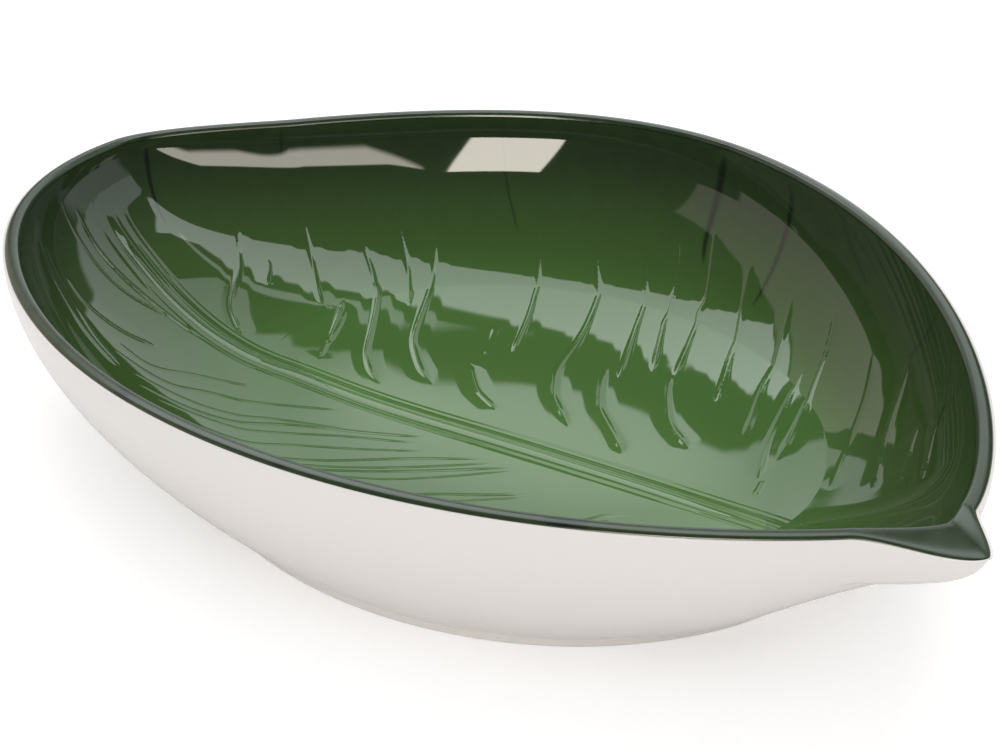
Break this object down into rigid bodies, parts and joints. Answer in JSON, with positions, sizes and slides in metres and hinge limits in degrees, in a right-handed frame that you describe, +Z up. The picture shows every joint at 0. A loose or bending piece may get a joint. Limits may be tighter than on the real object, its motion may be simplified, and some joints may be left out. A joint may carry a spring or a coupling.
{
  "type": "leaf shaped serving dish",
  "caption": "Deep leaf shaped serving dish in two-tone melamine: pale outside with a foot ring, glossy green inside with a raised midrib and veins, and a short stalk at the pointed end.",
  "frame": {"origin": "centre of the dish's bounding box on the table, at z = 0 on the standing face of the foot ring", "axes": "+X towards the stalk along the leaf, +Y towards the far side, +Z up"},
  "size_m": [0.28, 0.198, 0.046],
  "materials": {
    "shell_white": "warm white moulded melamine, semi-gloss",
    "liner_green": "dark green moulded melamine, gloss",
    "foil_green": "printed leaf foil under clear glaze, dark green at the rim to bright green in the middle, high gloss"
  },
  "bodies": {
    "root": {"outer_shell": "shell_white", "leaf_liner": "liner_green", "decor_foil": "foil_green"}
  },
  "joints": []
}
